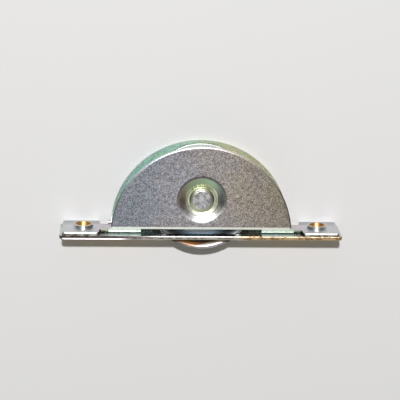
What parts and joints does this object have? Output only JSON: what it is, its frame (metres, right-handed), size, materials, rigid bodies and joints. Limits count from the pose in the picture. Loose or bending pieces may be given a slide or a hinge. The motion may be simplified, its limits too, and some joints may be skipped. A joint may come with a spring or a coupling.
{
  "type": "roller shutter pulley",
  "caption": "Recessed steel pulley: a grooved wheel on a riveted axle between two half-round cheeks, behind a long faceplate with screw holes.",
  "frame": {"origin": "middle of the two screw holes, at the back face of the faceplate, where it meets the case", "axes": "+X along the faceplate, +Y along the axle, +Z from the faceplate into the wall or frame that it is let into"},
  "size_m": [0.12, 0.019, 0.0453],
  "materials": {
    "zinc_steel": "bright zinc plate, passivated",
    "brassed_steel": "steel strip, brass plated on its front and bright zinc on its back",
    "wheel_steel": "bright zinc plate, passivated",
    "rivet_steel": "bright zinc plate, peened",
    "bearing_steel": "ground bearing steel",
    "shield_steel": "bright pressed steel",
    "ball_steel": "polished bearing steel",
    "cage_nylon": "natural nylon"
  },
  "bodies": {
    "case": {"case_body": "zinc_steel", "faceplate": "brassed_steel", "axle_rivet": "rivet_steel", "bearing_inner_ring": "bearing_steel"},
    "wheel": {"wheel_disc_front": "wheel_steel", "wheel_disc_back": "wheel_steel", "bearing_outer_ring": "bearing_steel", "bearing_shield_front": "shield_steel", "bearing_shield_back": "shield_steel"},
    "cage": {"bearing_cage": "cage_nylon", "ball_1": "ball_steel", "ball_2": "ball_steel", "ball_3": "ball_steel", "ball_4": "ball_steel", "ball_5": "ball_steel", "ball_6": "ball_steel", "ball_7": "ball_steel"}
  },
  "joints": [
    {"name": "wheel_spin", "type": "hinge", "parent": "case", "child": "wheel", "pos_m": [0, 0, 0.015], "axis": [0, 1, 0], "continuous": true},
    {"name": "cage_spin", "type": "hinge", "parent": "case", "child": "cage", "pos_m": [0, 0, 0.015], "axis": [0, 1, 0], "continuous": true}
  ],
  "couplings": [
    {"joint": "cage_spin", "follows": "wheel_spin", "ratio": 0.632}
  ]
}
